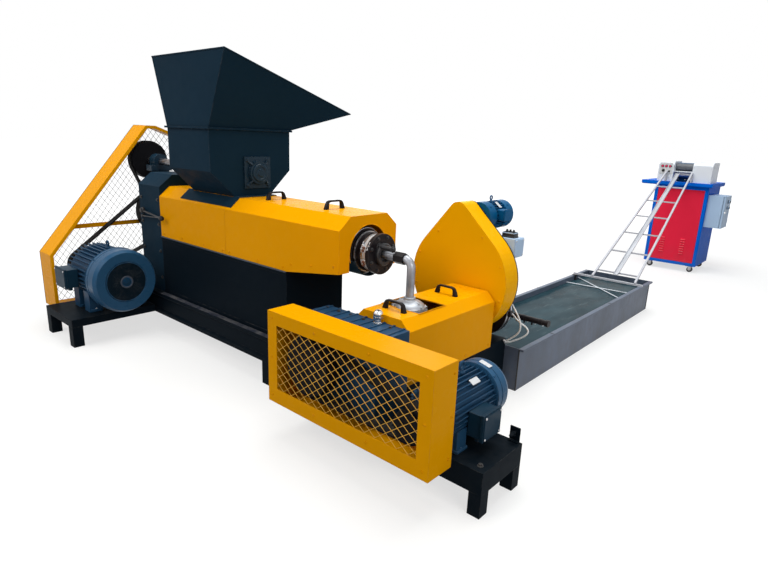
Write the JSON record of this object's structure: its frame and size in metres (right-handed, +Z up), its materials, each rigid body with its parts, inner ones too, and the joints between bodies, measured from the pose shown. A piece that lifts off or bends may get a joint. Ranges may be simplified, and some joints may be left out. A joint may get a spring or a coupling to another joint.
{
  "type": "foam recycling machine",
  "caption": "Two-stage foam pelletizing line with feed hopper, yellow covered extruders, belt guards, strand water tank, ladder rack and blue pelletizer.",
  "frame": {"origin": "middle of the line's bounding box, on the floor", "axes": "+X along the main screw towards its die end, +Y along the water tank towards the pelletizer, +Z up"},
  "size_m": [3.722, 7.007, 1.952],
  "materials": {
    "base_paint": "dark navy enamel",
    "cover_paint": "yellow-orange enamel",
    "hopper_paint": "dark navy enamel",
    "drive_paint": "blue-grey enamel",
    "teal_paint": "teal enamel",
    "black_paint": "black enamel",
    "box_paint": "pale grey-blue powder coat",
    "blue_paint": "bright blue enamel",
    "red_paint": "red enamel",
    "white_paint": "white enamel",
    "bright_steel": "turned steel",
    "tank_steel": "stainless sheet",
    "cast_iron": "machined cast iron",
    "belt_rubber": "black belt rubber",
    "roller_rubber": "dark rubber",
    "lead_sleeve": "woven white sleeve",
    "caster_rubber": "black rubber"
  },
  "bodies": {
    "line": {"base_plinth": "base_paint", "machine_feet": "base_paint", "base_cabinet": "base_paint", "motor_platform": "base_paint", "main_gearbox": "base_paint", "feeder_post": "base_paint", "main_cover_rear": "cover_paint", "main_cover_front": "cover_paint", "cover_handles": "black_paint", "main_barrel": "bright_steel", "heater_band": "bright_steel", "melt_fittings": "black_paint", "melt_pipe": "bright_steel", "hopper_saddle": "hopper_paint", "chamber_sides": "hopper_paint", "chamber_ends": "hopper_paint", "hopper_flange": "hopper_paint", "hopper_high_wall": "hopper_paint", "hopper_side_walls": "hopper_paint", "hopper_chute_floor": "hopper_paint", "feeder_bearings": "drive_paint", "drive_motors": "drive_paint", "motor_cowls": "drive_paint", "terminal_boxes": "drive_paint", "main_belt_guard": "cover_paint", "main_guard_mesh": "cover_paint", "drive_pulleys": "cast_iron", "drive_belts": "belt_rubber", "second_frame": "base_paint", "second_gearbox": "drive_paint", "second_belt_guard": "cover_paint", "second_guard_mesh": "cover_paint", "second_cover": "cover_paint", "second_barrel": "bright_steel", "filter_guard": "cover_paint", "filter_plate": "base_paint", "filter_motor": "teal_paint", "filter_control_box": "box_paint", "die_head": "black_paint", "strand_die": "black_paint", "heater_lead_long": "lead_sleeve", "heater_lead_short": "lead_sleeve", "tank_floor": "tank_steel", "tank_sides": "tank_steel", "tank_ends": "tank_steel", "strand_ladder": "white_paint", "strand_guide": "tank_steel", "pelletizer_frame": "blue_paint", "pelletizer_panels": "red_paint", "pelletizer_table": "blue_paint", "roller_housings": "white_paint", "feed_plate": "white_paint", "control_box": "box_paint", "casters": "caster_rubber"},
    "feeder_rotor": {"feeder_shaft": "bright_steel", "feeder_pulley": "cast_iron"},
    "upper_feed_roller": {"upper_roller": "roller_rubber"},
    "lower_feed_roller": {"lower_roller": "bright_steel"},
    "control_door": {"control_box_door": "box_paint"}
  },
  "joints": [
    {"name": "feeder_turn", "type": "hinge", "parent": "line", "child": "feeder_rotor", "pos_m": [-0.481, -2.6115, 1.25], "axis": [1, 0, 0], "continuous": true},
    {"name": "upper_roller_turn", "type": "hinge", "parent": "line", "child": "upper_feed_roller", "pos_m": [0.976, 2.9485, 1.291], "axis": [1, 0, 0], "continuous": true},
    {"name": "lower_roller_turn", "type": "hinge", "parent": "line", "child": "lower_feed_roller", "pos_m": [0.976, 2.9485, 1.204], "axis": [1, 0, 0], "continuous": true},
    {"name": "control_door_swing", "type": "hinge", "parent": "line", "child": "control_door", "pos_m": [1.478, 3.2185, 0.7815], "axis": [0, 0, 1], "range_deg": [0, 110]}
  ],
  "couplings": [
    {"joint": "lower_roller_turn", "follows": "upper_roller_turn", "ratio": -1}
  ]
}
